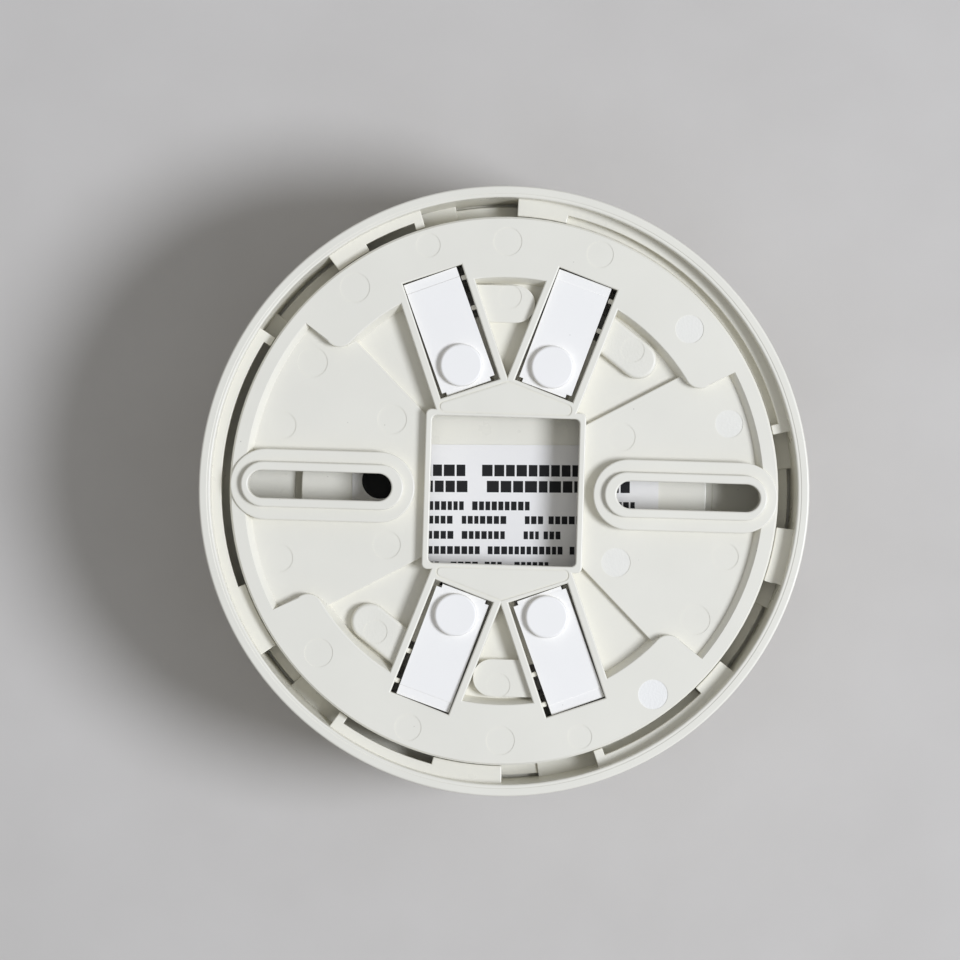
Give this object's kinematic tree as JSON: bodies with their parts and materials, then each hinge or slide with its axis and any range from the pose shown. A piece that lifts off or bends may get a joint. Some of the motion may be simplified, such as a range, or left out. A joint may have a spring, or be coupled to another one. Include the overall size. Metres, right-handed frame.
{
  "type": "heat detector",
  "caption": "Round ceiling heat detector: twist-on head with a domed metal heat collector, and a slotted bayonet mounting base with a square cable window and screw terminals.",
  "frame": {"origin": "centre of the mounting plane, midway between the two fixing slots", "axes": "+Z out of the rear face into the ceiling, +X along the line of the two fixing slots"},
  "size_m": [0.1, 0.1, 0.039],
  "materials": {
    "ivory_abs": "moulded ivory plastic with a soft gloss",
    "head_abs": "moulded ivory plastic with a soft gloss",
    "white_nylon": "smooth white insulating plastic",
    "plated_brass": "nickel plated",
    "zinc_steel": "zinc plated screws",
    "label": "printed white film",
    "contact_brass": "rolled strip",
    "board": "green solder mask",
    "collector_alu": "spun satin",
    "seal_rubber": "matte",
    "bimetal": "rolled",
    "phenolic": "pressed phenolic",
    "ceramic": "fired, unglazed",
    "silver_contact": "polished silver",
    "led_red": "clear tinted resin",
    "lens_red": "clear red plastic",
    "resistor_body": "lacquer",
    "diode_body": "moulded epoxy"
  },
  "bodies": {
    "base": {"mounting_base": "ivory_abs", "terminal_block_1": "white_nylon", "terminal_block_2": "white_nylon", "terminal_block_3": "white_nylon", "terminal_block_4": "white_nylon", "terminal_plate_1": "plated_brass", "terminal_plate_2": "plated_brass", "terminal_plate_3": "plated_brass", "terminal_plate_4": "plated_brass", "terminal_screws": "zinc_steel", "clamp_washers": "zinc_steel"},
    "head": {"head_housing": "head_abs", "rear_cover": "head_abs", "rating_label": "label", "cover_screws": "zinc_steel", "contact_blade_1": "contact_brass", "contact_blade_2": "contact_brass", "contact_blade_3": "contact_brass", "contact_blade_4": "contact_brass", "blade_rivets": "contact_brass", "circuit_board": "board", "heat_collector": "collector_alu", "collector_seal": "seal_rubber", "collector_nut": "collector_alu", "bimetal_disc": "bimetal", "disc_seat": "phenolic", "pin_guide": "ceramic", "contact_block": "phenolic", "block_screws": "zinc_steel", "leaf_terminal": "contact_brass", "fixed_leaf": "contact_brass", "fixed_contact": "silver_contact", "indicator_led": "led_red", "led_lens": "lens_red", "resistors": "resistor_body", "diode": "diode_body"},
    "trip_pin": {"push_pin": "ceramic"},
    "contact_arm": {"moving_leaf": "contact_brass", "moving_contact": "silver_contact"}
  },
  "joints": [
    {"name": "head_twist", "type": "hinge", "parent": "base", "child": "head", "pos_m": [0, 0, 0], "axis": [0, 0, -1], "range_deg": [0, 16]},
    {"name": "pin_travel", "type": "slide", "parent": "head", "child": "trip_pin", "axis": [0, 0, 1], "range_m": [0, 0.0006], "stiffness_N_per_m": 150, "deforming": ["bimetal_disc"]},
    {"name": "arm_flex", "type": "hinge", "parent": "head", "child": "contact_arm", "pos_m": [-0.01, 0, -0.02555], "axis": [0, -1, 0], "range_deg": [0, 3.5]}
  ],
  "couplings": [
    {"joint": "arm_flex", "follows": "pin_travel", "rad_per_m": 100}
  ]
}
